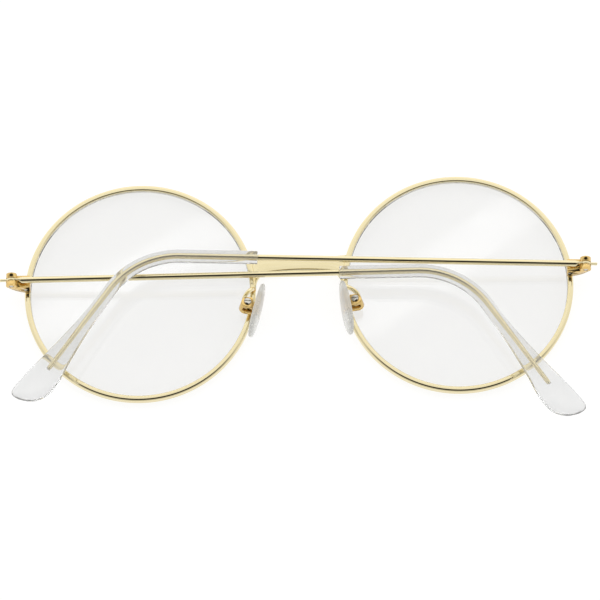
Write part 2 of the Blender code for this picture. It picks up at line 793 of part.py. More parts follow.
def make_pad_insert(shop, side, pin, pad_place, pad):
    """The insert: a tab with a round end in the box, and a plate let into the pad's back."""
    half_tab = BOX_SLOT / 2 - SIDE_PLAY
    tab_radius = BOX_HALF - BOX_WALL - TAB_MARGIN
    tab = cylinder(tab_radius, -half_tab, half_tab, "Z", sides=SCREW_STEPS)
    insert = shop.piece(
        side.label("pad_insert"), mesh_of(side.label("pad_insert"), tab), pin, shop.steel
    )
    stem = block(
        (-PAD_SETBACK - STEM_BITE, -tab_radius, -half_tab), (0.0, tab_radius, half_tab)
    )
    mesh = mesh_of(side.label("insert_stem"), stem, side.sign)
    boolean(insert, shop.cutter(side.label("insert_stem"), mesh, pin), "UNION")
    for name, grow in (("insert_plate", 0.0), ("insert_pocket", SEAT)):
        plate = block(
            (-INSERT_THICKNESS - grow, PAD_DROP - INSERT_LENGTH / 2 - grow, -INSERT_WIDTH / 2 - grow),
            (4 * grow, PAD_DROP + INSERT_LENGTH / 2 + grow, INSERT_WIDTH / 2 + grow),
        )
        cutter = shop.cutter(
            side.label(name), mesh_of(side.label(name), plate, side.sign), pad_place
        )
        if name == "insert_plate":
            boolean(insert, cutter, "UNION")
        else:
            boolean(pad, cutter, "DIFFERENCE")
    bore = cylinder(PAD_SCREW_RADIUS + RUNNING, -BOX_HALF, BOX_HALF, "Z", sides=SCREW_STEPS)
    mesh = mesh_of(side.label("insert_bore"), bore)
    boolean(insert, shop.cutter(side.label("insert_bore"), mesh, pin), "DIFFERENCE")


def make_pad_box(shop, side, pin):
    """The clevis that holds the insert: round behind, slotted towards the nose."""
    outline = [(-BOX_HALF, BOX_HALF), (-BOX_HALF, -BOX_HALF)]
    outline += arc((0.0, 0.0), BOX_HALF, -90, 90, 13)
    body = extruded("pad_box", outline, -BOX_HALF, BOX_HALF)
    box = shop.piece(
        side.label("pad_box"), mesh_of(side.label("pad_box"), body, side.sign), pin, shop.gold
    )
    soften(box, BOX_EDGE)
    reach = 2 * BOX_HALF
    slot = block((-reach, -reach, -BOX_SLOT / 2), (BOX_HALF - BOX_WALL, reach, BOX_SLOT / 2))
    mesh = mesh_of(side.label("box_slot"), slot, side.sign)
    boolean(box, shop.cutter(side.label("box_slot"), mesh, pin), "DIFFERENCE")
    hole = cylinder(PAD_SCREW_RADIUS + RUNNING, -reach, reach, "Z", sides=SCREW_STEPS)
    mesh = mesh_of(side.label("box_hole"), hole)
    boolean(box, shop.cutter(side.label("box_hole"), mesh, pin), "DIFFERENCE")


def make_pad_screw(shop, side, pin):
    """A pan-headed screw whose head stands on the box, towards the wearer."""
    seat = BOX_HALF + SEAT
    top = seat + PAD_HEAD_HEIGHT
    profile = [
        (0.0, top),
        (PAD_HEAD_RADIUS - PAD_HEAD_CHAMFER, top),
        (PAD_HEAD_RADIUS, top - PAD_HEAD_CHAMFER),
        (PAD_HEAD_RADIUS, seat),
        (PAD_SCREW_RADIUS, seat),
        (PAD_SCREW_RADIUS, -BOX_HALF),
        (0.0, -BOX_HALF),
    ]
    name = side.label("pad_screw")
    made = shop.piece(name, profile_mesh(name, profile), pin, shop.steel)
    screw(made, SCREW_STEPS)
    half = SCREW_SLOT_WIDTH / 2
    reach = 2 * PAD_HEAD_RADIUS
    slot = block((-reach, -half, top - PAD_HEAD_SLOT), (reach, half, top + PAD_HEAD_HEIGHT))
    boolean(made, shop.cutter(f"{name}_slot", mesh_of(f"{name}_slot", slot), pin), "DIFFERENCE")


def make_pad_arm(shop, side, pin):
    """The bent wire from the back of the rim to the top of the pad box."""
    ring = RIM_OUTER - RIM_WALL + BEVEL_HEIGHT / 2
    foot_y = -ARM_FOOT_DOWN
    foot_x = HALF_SPACING - math.sqrt(ring**2 - foot_y**2)
    foot = Vector((side.sign * foot_x, foot_y, RIM_DEPTH + SEAT))
    end = pin.matrix_local @ Vector((side.sign * ARM_END_OUT, BOX_HALF + SEAT, 0.0))
    arrive = pin.matrix_local.to_3x3() @ Vector((0.0, 1.0, 0.0))
    curve = bpy.data.curves.new(side.label("pad_arm"), "CURVE")
    curve.dimensions = "3D"
    curve.bevel_depth = ARM_RADIUS
    curve.bevel_resolution = 2
    curve.resolution_u = 10
    curve.use_fill_caps = True
    spline = curve.splines.new("BEZIER")
    spline.bezier_points.add(1)
    ends = (
        (foot, foot - Vector((0, 0, ARM_REACH)), foot + Vector((0, 0, ARM_REACH))),
        (end, end + arrive * ARM_REACH, end - arrive * ARM_REACH),
    )
    for point, (co, left, right) in zip(spline.bezier_points, ends):
        point.handle_left_type = "FREE"
        point.handle_right_type = "FREE"
        point.co = co
        point.handle_left = left
        point.handle_right = right
    shop.piece(side.label("pad_arm"), curve, shop.root, shop.gold)


# ---------------------------------------------------------------- assembly


def make_side(shop, side):
    """Everything on one side of the bridge."""
    make_rim_and_lens(shop, side)
    hinge = (
        side.sign * (HALF_SPACING + RIM_OUTER + HINGE_OUT),
        HINGE_UP,
        RIM_DEPTH + HINGE_BACK,
    )
    lean = Matrix.Rotation(-side.sign * math.radians(side.pin_lean_deg), 3, "Z")
    rise = Matrix.Rotation(side.sign * math.radians(side.rest_rise_deg), 3, "Y")
    hinge_pin = shop.empty(side.label("hinge_pin"), shop.root, hinge, lean)
    make_closing_block(shop, side, hinge_pin)
    temple_pin = shop.empty(side.label("temple_pin"), hinge_pin, rotation=rise)
    make_temple_wire(shop, side, temple_pin)
    make_temple_tip(shop, side, temple_pin)

    pivot = (
        side.sign * (HALF_SPACING - RIM_OUTER + side.pad_pivot_in),
        -PAD_PIVOT_DOWN,
        RIM_DEPTH + PAD_PIVOT_BACK,
    )
    pad_pin = shop.empty(side.label("pad_pin"), shop.root, pivot, pad_pin_rotation(side))
    place = shop.empty(side.label("pad_place"), pad_pin)
    place.matrix_local = pad_frame(side)
    pad = make_nose_pad(shop, side, place)
    make_pad_insert(shop, side, pad_pin, place, pad)
    make_pad_box(shop, side, pad_pin)
    make_pad_screw(shop, side, pad_pin)
    make_pad_arm(shop, side, pad_pin)


def world_points(obj, graph):
    """The places of a finished object's vertices, as an array of rows."""
    solid = obj.evaluated_get(graph)
    mesh = solid.to_mesh()
    points = np.empty(len(mesh.vertices) * 3, np.float32)
    mesh.vertices.foreach_get("co", points)
    solid.to_mesh_clear()
    world = np.array(solid.matrix_world)
    return points.reshape(-1, 3) @ world[:3, :3].T + world[:3, 3]


def stand_on_origin(shop):
    """Moves the root so that the origin is the middle of the underside. The pieces already stand
    evenly about X = 0, so only the other two directions move."""
    bpy.context.view_layer.update()
    graph = bpy.context.evaluated_depsgraph_get()
    shown = [obj for obj in shop.parts.objects if obj.type != "EMPTY"]
    points = np.vstack([world_points(obj, graph) for obj in shown])
    low, high = points.min(axis=0), points.max(axis=0)
    shop.root.location = (0.0, -(low[1] + high[1]) / 2, -low[2])


def main():
    """Builds the spectacles."""
    shop = Workshop()
    make_bridge(shop)
    for side in SIDES:
        make_side(shop, side)
    stand_on_origin(shop)


main()
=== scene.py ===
"""Looks for a pair of round wire eyeglasses that lie on the fronts of their rims, temples folded.

+X is the wearer's right, +Y is towards the brow and +Z is towards the wearer. Each sub-assembly
is a class that holds its own sizes in millimetres, works its surfaces out as whole numpy grids,
and hangs them on the body that they move with. Hinges and pads are placed by the joints of the
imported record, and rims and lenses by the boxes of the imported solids.
"""

from __future__ import annotations

import json
import logging
import math
from dataclasses import dataclass
from enum import Enum
from typing import Any

import bmesh
import bpy
import numpy as np
from mathutils import Matrix, Vector

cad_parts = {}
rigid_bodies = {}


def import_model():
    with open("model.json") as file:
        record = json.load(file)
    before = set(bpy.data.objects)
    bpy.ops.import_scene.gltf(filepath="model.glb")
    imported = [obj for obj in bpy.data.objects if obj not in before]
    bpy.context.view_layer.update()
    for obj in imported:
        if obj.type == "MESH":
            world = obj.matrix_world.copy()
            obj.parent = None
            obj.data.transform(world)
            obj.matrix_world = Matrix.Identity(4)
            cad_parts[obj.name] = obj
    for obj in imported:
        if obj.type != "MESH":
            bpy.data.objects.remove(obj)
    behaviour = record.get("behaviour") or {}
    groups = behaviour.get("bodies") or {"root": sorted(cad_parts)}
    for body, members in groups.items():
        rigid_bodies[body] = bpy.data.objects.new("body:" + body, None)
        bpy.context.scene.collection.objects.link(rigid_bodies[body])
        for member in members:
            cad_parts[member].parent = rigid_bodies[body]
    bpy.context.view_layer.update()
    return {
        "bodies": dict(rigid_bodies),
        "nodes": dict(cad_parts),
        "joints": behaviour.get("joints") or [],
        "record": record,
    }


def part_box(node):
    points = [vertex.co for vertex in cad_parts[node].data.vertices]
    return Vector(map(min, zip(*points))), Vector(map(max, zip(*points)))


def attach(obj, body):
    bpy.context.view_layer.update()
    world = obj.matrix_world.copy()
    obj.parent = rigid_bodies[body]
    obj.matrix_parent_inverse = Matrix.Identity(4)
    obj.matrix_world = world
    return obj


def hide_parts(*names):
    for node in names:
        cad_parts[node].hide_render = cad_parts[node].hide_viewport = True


Thing, Tree, Material = bpy.types.Object, bpy.types.NodeTree, bpy.types.Material
MM = 0.001
log = logging.getLogger("eyeglasses")

# Marks on metal: how much longer than wide they are on drawn wire, and how strongly they show.
DRAWN_STRETCH = 60
MARK_STRENGTH = 0.25
# Corners of small machined solids closer than this are one corner.
MERGE_MM = 0.0005


class Side(Enum):
    """The wearer's two sides, with the sign of X on each."""

    RIGHT = 1
    LEFT = -1

    def node(self, part: str) -> str:
        """The name of one of this side's nodes."""
        return f"{self.name.lower()}_{part}"


class Grain(Enum):
    """How a metal surface was worked, which sets the direction of its fine marks."""

    DRAWN = "drawn"
    POLISHED = "polished"


# ---------- colours, nodes and finishes


def linear(hex_colour: str) -> tuple[float, float, float, float]:
    """Turns an sRGB colour into the linear values that shaders take.

    Args:
        hex_colour: six hexadecimal digits after a hash.

    Returns:
        Red, green, blue and an alpha of 1.
    """
    values = (int(hex_colour[i : i + 2], 16) / 255 for i in (1, 3, 5))
    made = [v / 12.92 if v <= 0.04045 else ((v + 0.055) / 1.055) ** 2.4 for v in values]
    return (made[0], made[1], made[2], 1.0)


def add_node(tree: Tree, kind: str, inputs: dict[Any, Any], **settings: Any) -> bpy.types.Node:
    """Adds a node with its settings, its socket values and its links.

    Args:
        tree: the material's or the world's node tree.
        kind: the node's type name, without "ShaderNode" in front.
        inputs: socket name or number, with a value or the output socket that feeds it.
        settings: the node's own properties.

    Returns:
        The new node.
    """
    made = tree.nodes.new(f"ShaderNode{kind}")
    for name, value in settings.items():
        setattr(made, name, value)
    for socket, value in inputs.items():
        if isinstance(value, bpy.types.NodeSocket):
            tree.links.new(value, made.inputs[socket])
        else:
            made.inputs[socket].default_value = value
    return made


def ramp(
    tree: Tree,
    value: Any,
    low: float,
    high: float,
    start: float = 0.0,
    end: float = 1.0,
    shape: str = "LINEAR",
) -> Any:
    """Turns a value that runs from start to end into one that runs from low to high.

    Args:
        tree: the node tree.
        value: the output socket to follow.
        low: the result at start.
        high: the result at end.
        start: the value where the result is low.
        end: the value where the result is high.
        shape: how it goes from one to the other.

    Returns:
        The output socket.
    """
    sockets = {"Value": value, "From Min": start, "From Max": end, "To Min": low, "To Max": high}
    return add_node(tree, "MapRange", sockets, interpolation_type=shape).outputs[0]


def fresh(name: str) -> tuple[Material, Tree, bpy.types.Node]:
    """A new material with nothing in it but its output.

    Args:
        name: the material's name.

    Returns:
        The material, its node tree and its output node.
    """
    made = bpy.data.materials.new(name)
    made.use_nodes = True
    made.node_tree.nodes.clear()
    return made, made.node_tree, made.node_tree.nodes.new("ShaderNodeOutputMaterial")


def coordinates(tree: Tree, output: str, scale: tuple[float, float, float]) -> Any:
    """Texture coordinates stretched so that one unit is one period of a pattern.

    Args:
        tree: the material's node tree.
        output: "Object" or "UV".
        scale: periods in a metre along each axis.

    Returns:
        The output socket.
    """
    source = add_node(tree, "TexCoord", {})
    mapping = add_node(tree, "Mapping", {"Vector": source.outputs[output], "Scale": scale})
    return mapping.outputs["Vector"]


def let_lamps_through(tree: Tree, shader: Any) -> Any:
    """Lets shadow rays and soft light pass straight through a clear piece.

    Args:
        tree: the material's node tree.
        shader: the clear shader's output socket.

    Returns:
        The mixed shader's output socket.
    """
    path = add_node(tree, "LightPath", {})
    either = add_node(
        tree,
        "Math",
        {0: path.outputs["Is Shadow Ray"], 1: path.outputs["Is Diffuse Ray"]},
        operation="MAXIMUM",
    )
    open_air = add_node(tree, "BsdfTransparent", {"Color": linear("#F4F4F4")})
    mixed = add_node(tree, "MixShader", {0: either.outputs[0], 1: shader, 2: open_air.outputs[0]})
    return mixed.outputs[0]


@dataclass(frozen=True)
class Finish:
    """A named material whose colour and roughness both follow one pattern."""

    name: str
    colour: str
    far_colour: str
    gloss: tuple[float, float]

    def sockets(self, tree: Tree, pattern: Any) -> dict[str, Any]:
        """The colour and the roughness that follow a pattern from 0 to 1.

        Args:
            tree: the material's node tree.
            pattern: the pattern's output socket.

        Returns:
            The Principled shader's socket names, with the outputs that feed them.
        """
        colours = {0: pattern, 6: linear(self.colour), 7: linear(self.far_colour)}
        tone = add_node(tree, "Mix", colours, data_type="RGBA")
        return {"Base Color": tone.outputs[2], "Roughness": ramp(tree, pattern, *self.gloss)}

    def shader(self, tree: Tree) -> Any:
        """The output socket of the finish's shader, which each kind of finish makes."""
        raise NotImplementedError

    def material(self) -> Material:
        """The material, made on its first use."""
        found = bpy.data.materials.get(self.name)
        if found:
            return found
        made, tree, output = fresh(self.name)
        tree.links.new(self.shader(tree), output.inputs["Surface"])
        return made


@dataclass(frozen=True)
class PlatedMetal(Finish):
    """A metal whose fine marks change its colour, its gloss and its surface a little."""

    grain: Grain
    mark_mm: float
    mark_depth_mm: float

    def shader(self, tree: Tree) -> Any:
        """The metal, with marks that run along a drawn wire or all ways on a polished block."""
        across = 1 / (self.mark_mm * MM)
        drawn = self.grain is Grain.DRAWN
        along = across / DRAWN_STRETCH if drawn else across
        vector = coordinates(tree, "UV" if drawn else "Object", (along, across, across))
        noise = {"Vector": vector, "Scale": 1.0, "Detail": 3.0, "Roughness": 0.55}
        marks = add_node(tree, "TexNoise", noise).outputs["Fac"]
        depth = self.mark_depth_mm * MM
        relief = {"Strength": MARK_STRENGTH, "Distance": depth, "Height": marks}
        bump = add_node(tree, "Bump", relief)
        sockets = self.sockets(tree, marks) | {"Metallic": 1.0, "Normal": bump.outputs[0]}
        return add_node(tree, "BsdfPrincipled", sockets).outputs[0]


@dataclass(frozen=True)
class ClearPlastic(Finish):
    """A see-through plastic with a faint cloud in it and faint smears on its surface."""

    ior: float
    clearness: float
    cloud_mm: float

    def shader(self, tree: Tree) -> Any:
        """The plastic, with its cloud and its smears from one noise."""
        period = 1 / (self.cloud_mm * MM)
        vector = coordinates(tree, "Object", (period, period, period))
        noise = {"Vector": vector, "Scale": 1.0, "Detail": 4.0}
        cloud = add_node(tree, "TexNoise", noise).outputs["Fac"]
        clear = {"IOR": self.ior, "Transmission Weight": self.clearness}
        plastic = add_node(tree, "BsdfPrincipled", self.sockets(tree, cloud) | clear)
        return let_lamps_through(tree, plastic.outputs[0])


# Gold plate on drawn wire: pale champagne yellow, mirror bright, with faint lines along it.
GOLD_WIRE = PlatedMetal(
    "gold_plate_on_drawn_wire", "#F1E6C6", "#E4D6A4", (0.07, 0.15), Grain.DRAWN, 0.12, 0.004
)
# Gold plate on a cast and tumbled block, softer where it was tumbled. It is the wire's plate
# painted a deeper amber, a painted reflection of warm light bounced between the block's faces;
# its darker patches are random tone.
GOLD_BLOCK_PAINTED_BOUNCE = PlatedMetal(
    "gold_plate_on_cast_block", "#EBD296", "#D6AC5C", (0.08, 0.17), Grain.POLISHED, 0.35, 0.01
)
# Turned stainless steel: cold grey white, a little brushed by the cutting tool.
STEEL = PlatedMetal(
    "turned_stainless_steel", "#DAD8D2", "#B9B7B1", (0.16, 0.3), Grain.POLISHED, 0.2, 0.006
)
# Solder run in at a joint, under the plate: the same gold, slightly dull and uneven.
SOLDER = PlatedMetal(
    "gold_plate_over_solder", "#DFBE78", "#C69A4C", (0.18, 0.32), Grain.POLISHED, 0.5, 0.02
)
# Cast allyl lens plastic: clear with a faint grey, with barely visible wiping smears.
LENS_PLASTIC = ClearPlastic("cast_lens_plastic", "#F4F4F3", "#F2F2F2", (0.0, 0.03), 1.5, 1.0, 9.0)
# Soft moulded PVC of the tips: clear and a little milky, with a slow cloud and a glossy skin.
TIP_PLASTIC = ClearPlastic(
    "moulded_clear_pvc", "#F9F9F9", "#EFF0F1", (0.0, 0.05), 1.47, 0.86, 4.0
)
# Moulded silicone of the pads: milky white, a third clear, satin, with small duller patches.
PAD_SILICONE = ClearPlastic(
    "moulded_silicone", "#F7F7F4", "#EDEDEA", (0.22, 0.34), 1.41, 0.3, 2.5
)


# ---------- surfaces as numpy grids


def arc(centre: tuple[float, float], radius: float, start: float, end: float, count: int) -> Any:
    """Points on a circle between two angles: centre plus radius times cosine and sine.

    Args:
        centre: the circle's middle.
        radius: the circle's radius.
        start: the first angle in degrees.
        end: the last angle in degrees.
        count: how many points.

    Returns:
        An array of count rows of two.
    """
    angle = np.radians(np.linspace(start, end, count))
    return np.array(centre) + radius * np.stack([np.cos(angle), np.sin(angle)], axis=1)


def full_turn(count: int) -> Any:
    """Evenly spaced angles round a circle, as one row."""
    return np.linspace(0.0, math.tau, count, endpoint=False)[None, :]


def xyz(x: Any, y: Any, z: Any) -> Any:
    """Points from three arrays, each stretched to the shape that they share."""
    return np.stack(np.broadcast_arrays(x, y, z), axis=-1)


def turned(away: Any, height: Any, turn: Any) -> Any:
    """Points at a distance and a height, turned about +Z: distance times cosine and sine."""
    return xyz(away * np.cos(turn), away * np.sin(turn), height)


def superellipse(half_a: Any, half_b: Any, power: Any, count: int) -> tuple[Any, Any]:
    """A loop for each row, where |a / half_a| and |b / half_b| to a power add up to one.

    Each coordinate is the half size times the cosine or sine to the power 2 / power, with its
    sign kept.

    Args:
        half_a: half size along the first direction, one value a row.
        half_b: half size along the second direction, one value a row.
        power: 2 for an ellipse and more for a squarer loop, one value a row.
        count: points in each loop.

    Returns:
        Two arrays of rows by count.
    """
    turn = full_turn(count)
    share = 2.0 / np.asarray(power, float).reshape(-1, 1)
    a = np.sign(np.cos(turn)) * np.abs(np.cos(turn)) ** share
    b = np.sign(np.sin(turn)) * np.abs(np.sin(turn)) ** share
    return np.reshape(half_a, (-1, 1)) * a, np.reshape(half_b, (-1, 1)) * b


def rounded_rectangle(half_a: Any, half_b: Any, corner: Any, per_corner: int) -> tuple[Any, Any]:
    """A rectangle with quarter circles for corners, one loop for each row.

    Each quarter's centre is the half size less the corner radius, on its own side, and the
    radius times cosine and sine is added to it.

    Args:
        half_a: half size along the first direction, one value a row.
        half_b: half size along the second direction, one value a row.
        corner: the corner radius, one value a row.
        per_corner: points in each quarter.

    Returns:
        Two arrays of rows by four times per_corner.
    """
    quarter = np.repeat(np.arange(4), per_corner)
    turn = np.tile(np.linspace(0.0, math.pi / 2, per_corner), 4) + quarter * math.pi / 2
    sign_a = np.where((quarter == 0) | (quarter == 3), 1.0, -1.0)
    sign_b = np.where(quarter < 2, 1.0, -1.0)
    wide, high, radius = (np.reshape(v, (-1, 1)) for v in (half_a, half_b, corner))
    a = sign_a * (wide - radius) + radius * np.cos(turn)
    b = sign_b * (high - radius) + radius * np.sin(turn)
    return a, b


def smooth_table(at: Any, marks: Any, values: Any) -> Any:
    """A smooth curve through a table: on each span, the cubic that keeps the table's slopes.

    Args:
        at: where the curve is wanted.
        marks: the table's places, rising.
        values: the table's values.

    Returns:
        The curve's values.
    """
    slope = np.gradient(values, marks)
    span = np.clip(np.searchsorted(marks, at, side="right") - 1, 0, len(marks) - 2)
    width = marks[span + 1] - marks[span]
    t = np.clip((at - marks[span]) / width, 0.0, 1.0)
    rise = values[span + 1] - values[span]
    start, end = slope[span] * width, slope[span + 1] * width
    return values[span] + t * (
        start + t * (3 * rise - 2 * start - end + t * (start + end - 2 * rise))
    )


def skin(name: str, grid: Any, ring: bool = False) -> Thing:
    """Makes an object from a grid of loops, with its faces turned outwards.

    Each column runs round a loop and closes on itself. The first and last loops are closed by a
    fan about their middle, or joined to each other in a ring. The UV map holds the distance
    along the loops and the distance round them, in metres.

    Args:
        name: the object's name.
        grid: loops by points by three, in metres in the shared frame.
        ring: whether the last loop joins the first.

    Returns:
        The object, at the origin.
    """
    rows, cols = grid.shape[:2]
    steps = rows if ring else rows - 1
    r, c = np.meshgrid(np.arange(steps), np.arange(cols), indexing="ij")
    r2, c2 = (r + 1) % rows, (c + 1) % cols
    quads = np.stack([r * cols + c, r * cols + c2, r2 * cols + c2, r2 * cols + c], axis=-1)
    quads = quads.reshape(-1, 4)
    closed = np.concatenate([grid, grid[:1]]) if ring else grid
    middle = closed.mean(axis=1)
    along = np.append(0.0, np.cumsum(np.linalg.norm(np.diff(middle, axis=0), axis=1)))
    if ring or along[-1] < MM:
        first = np.linalg.norm(np.diff(closed[:, 0], axis=0), axis=1)
        along = np.append(0.0, np.cumsum(first))
    loop = np.concatenate([grid[rows // 2], grid[rows // 2][:1]])
    around = np.append(0.0, np.cumsum(np.linalg.norm(np.diff(loop, axis=0), axis=1)))
    corners = [
        np.stack([along[r + i], around[c + j]], -1) for i, j in ((0, 0), (0, 1), (1, 1), (1, 0))
    ]
    uv = np.stack(corners, axis=2).reshape(-1, 2)
    points = grid.reshape(-1, 3)
    triangles = np.empty((0, 3), int)
    if not ring:
        tip = len(points)
        points = np.concatenate([points, middle[:1], middle[-1:]])
        near = np.arange(cols)
        far = near + (rows - 1) * cols
        near_fan = np.stack([np.full(cols, tip), np.roll(near, -1), near], axis=1)
        far_fan = np.stack([np.full(cols, tip + 1), far, np.roll(far, -1)], axis=1)
        triangles = np.concatenate([near_fan, far_fan])
        ends = np.repeat([along[0], along[-1]], cols * 3)
        sides = np.tile(np.repeat(around[:-1], 3), 2)
        uv = np.concatenate([uv, np.stack([ends, sides], axis=1)])
    halves = np.concatenate([quads[:, [0, 1, 2]], quads[:, [0, 2, 3]], triangles])
    a, b, d = (points[halves[:, i]] for i in range(3))
    if np.einsum("ij,ij->", a, np.cross(b, d)) < 0:
        quads, triangles = quads[:, ::-1], triangles[:, ::-1]
        cut = len(quads) * 4
        both = (uv[:cut].reshape(-1, 4, 2), uv[cut:].reshape(-1, 3, 2))
        uv = np.concatenate([part[:, ::-1].reshape(-1, 2) for part in both])
    mesh = bpy.data.meshes.new(name)
    mesh.from_pydata(points.tolist(), [], quads.tolist() + triangles.tolist())
    layer = mesh.uv_layers.new(name="UVMap")
    layer.data.foreach_set("uv", uv.astype(np.float32).ravel())
    return shown(name, mesh)


def shown(name: str, mesh: bpy.types.Mesh, sharp_deg: float = 38.0) -> Thing:
    """Puts a mesh in the scene, smooth but for its sharp edges.

    Args:
        name: the object's name.
        mesh: the mesh, already in the shared frame.
        sharp_deg: edges that turn by more than this stay sharp.

    Returns:
        The object, at the origin.
    """
    mesh.validate()
    mesh.shade_smooth()
    mesh.set_sharp_from_angle(angle=math.radians(sharp_deg))
    made = bpy.data.objects.new(name, mesh)
    bpy.context.scene.collection.objects.link(made)
    return made


def refined(name: str, node: str, sharp_deg: float = 30.0) -> Thing:
    """A smooth-shaded copy of a small machined solid, with its loose triangles merged.

    Args:
        name: the new object's name.
        node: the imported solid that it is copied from.
        sharp_deg: edges that turn by more than this stay sharp.

    Returns:
        The object, at the origin.
    """
    grid = bmesh.new()
    grid.from_mesh(bpy.data.objects[node].data)
    bmesh.ops.remove_doubles(grid, verts=grid.verts, dist=MERGE_MM * MM)
    bmesh.ops.dissolve_degenerate(grid, edges=grid.edges, dist=MERGE_MM * MM)
    mesh = bpy.data.meshes.new(name)
    grid.to_mesh(mesh)
    grid.free()
    mesh.materials.clear()
    return shown(name, mesh, sharp_deg)


def dress(piece: Thing, finish: Finish, body: str, slot: str, *nodes: str) -> Thing:
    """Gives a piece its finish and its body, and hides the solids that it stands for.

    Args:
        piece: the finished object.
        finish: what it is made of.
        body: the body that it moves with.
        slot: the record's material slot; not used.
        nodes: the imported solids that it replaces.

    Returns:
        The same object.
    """
    piece.data.materials.append(finish.material())
    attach(piece, body)
    if nodes:
        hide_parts(*nodes)
    log.info("%s: %d faces, on %s", piece.name, len(piece.data.polygons), body)
    return piece


def dress_machined(side: Side, *parts: tuple[str, Finish, str, str]) -> None:
    """Stands a smooth copy in for each small machined solid of one side.

    Args:
        side: the side they are on.
        parts: for each one its name, its finish, its body and its slot.
    """
    for part, *looks in parts:
        node = side.node(part)
        dress(refined(f"{node}_fine", node), *looks, node)


@dataclass(frozen=True)
class Placement:
    """Where a drawing stands: its origin, and the directions of its three axes as columns."""

    origin: Any
    axes: Any

    def world(self, points: Any) -> Any:
        """Drawing points in millimetres as shared-frame points in metres."""
        return points * MM @ self.axes.T + self.origin


def joint(frame: dict[str, Any], name: str) -> tuple[Any, Any]:
    """A joint's place and its axis.

    Args:
        frame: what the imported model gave.
        name: the joint's name.

    Returns:
        Two arrays of three.
    """
    found = next(j for j in frame["joints"] if j["name"] == name)
    return np.array(found["pos_m"], float), np.array(found["axis"], float)


def node_middle(node: str) -> Any:
    """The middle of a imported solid's box, as an array of three."""
    low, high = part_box(node)
    return np.array((low + high) / 2)


# ---------- rims, lenses and bridge


@dataclass
class RimAndLens:
    """A split eyewire with a grooved inside, and the shallow lens that snaps into it."""

    side: Side
    outer_radius: float = 25.85
    inner_radius: float = 24.55
    depth: float = 2.0
    outer_rounding: float = 0.55
    inner_rounding: float = 0.32
    groove_depth: float = 0.4
    groove_half_width: float = 0.55
    split_height: float = 2.0
    split_gap: float = 0.2
    lens_radius: float = 24.9
    lens_body: float = 24.5
    lens_thickness: float = 1.2
    lens_curve: float = 1000.0
    lens_edge: float = 0.5
    around: int = 420
    lens_around: int = 240

    def origin(self) -> Any:
        """The lens's centre on the plane of the rims' fronts."""
        middle = node_middle(self.side.node("rim"))
        return np.array([middle[0], middle[1], 0.0])

    def wire_section(self) -> Any:
        """The eyewire's section as distance from the lens's centre and height, run as one loop:
        two large quarter circles outside, two small ones inside and a V between them."""
        r, s, d = self.outer_rounding, self.inner_rounding, self.depth
        out, inn, mid = self.outer_radius, self.inner_radius, self.depth / 2
        wide = self.groove_half_width
        groove = np.array([(inn, mid - wide), (inn + self.groove_depth, mid), (inn, mid + wide)])
        return np.concatenate(
            [
                arc((out - r, d - r), r, 90, 0, 12),
                arc((out - r, r), r, 0, -90, 12),
                arc((inn + s, s), s, -90, -180, 8),
                groove,
                arc((inn + s, d - s), s, 180, 90, 8),
            ]
        )

    def wire(self) -> Thing:
        """The eyewire: its section carried round the lens's centre, from one side of the split
        to the other. A point is the distance times the cosine and sine of the angle."""
        start = math.asin(self.split_height / self.outer_radius)
        half_gap = self.split_gap / 2 / self.outer_radius
        turn = np.linspace(start + half_gap, start + math.tau - half_gap, self.around)
        section = self.wire_section()
        grid = turned(section[:, 0], section[:, 1], turn[:, None])
        grid = grid * (self.side.value, 1.0, 1.0)
        piece = skin(self.side.node("eyewire"), grid * MM + self.origin())
        return dress(piece, GOLD_WIRE, "front", "gold_plate", self.side.node("rim"))

    def lens_height(self, radius: Any, offset: float) -> Any:
        """A lens face's height: the middle, plus an offset, plus the bowl of a wide sphere."""
        bowl = (self.lens_body**2 - radius**2) / (2 * self.lens_curve)
        return self.depth / 2 + offset - bowl

    def lens(self) -> Thing:
        """The lens: a profile from the middle of the back, over the V edge, to the middle of
        the front, turned about the lens's centre."""
        radii = self.lens_body * np.linspace(0.01, 1.0, 18)
        half = self.lens_thickness / 2
        back = np.stack([radii, self.lens_height(radii, half)], axis=1)
        front = np.stack([radii, self.lens_height(radii, -half)], axis=1)[::-1]
        body, mid, lip = self.lens_body, self.depth / 2, self.lens_edge
        edge = np.array([(body, mid + lip), (self.lens_radius, mid), (body, mid - lip)])
        profile = np.concatenate([back, edge, front])
        grid = turned(profile[:, :1], profile[:, 1:], full_turn(self.lens_around))
        piece = skin(self.side.node("clear_lens"), grid * MM + self.origin())
        return dress(piece, LENS_PLASTIC, "front", "lens_plastic", self.side.node("lens"))

    def build(self) -> None:
        """Makes the eyewire and the lens."""
        self.wire()
        self.lens()


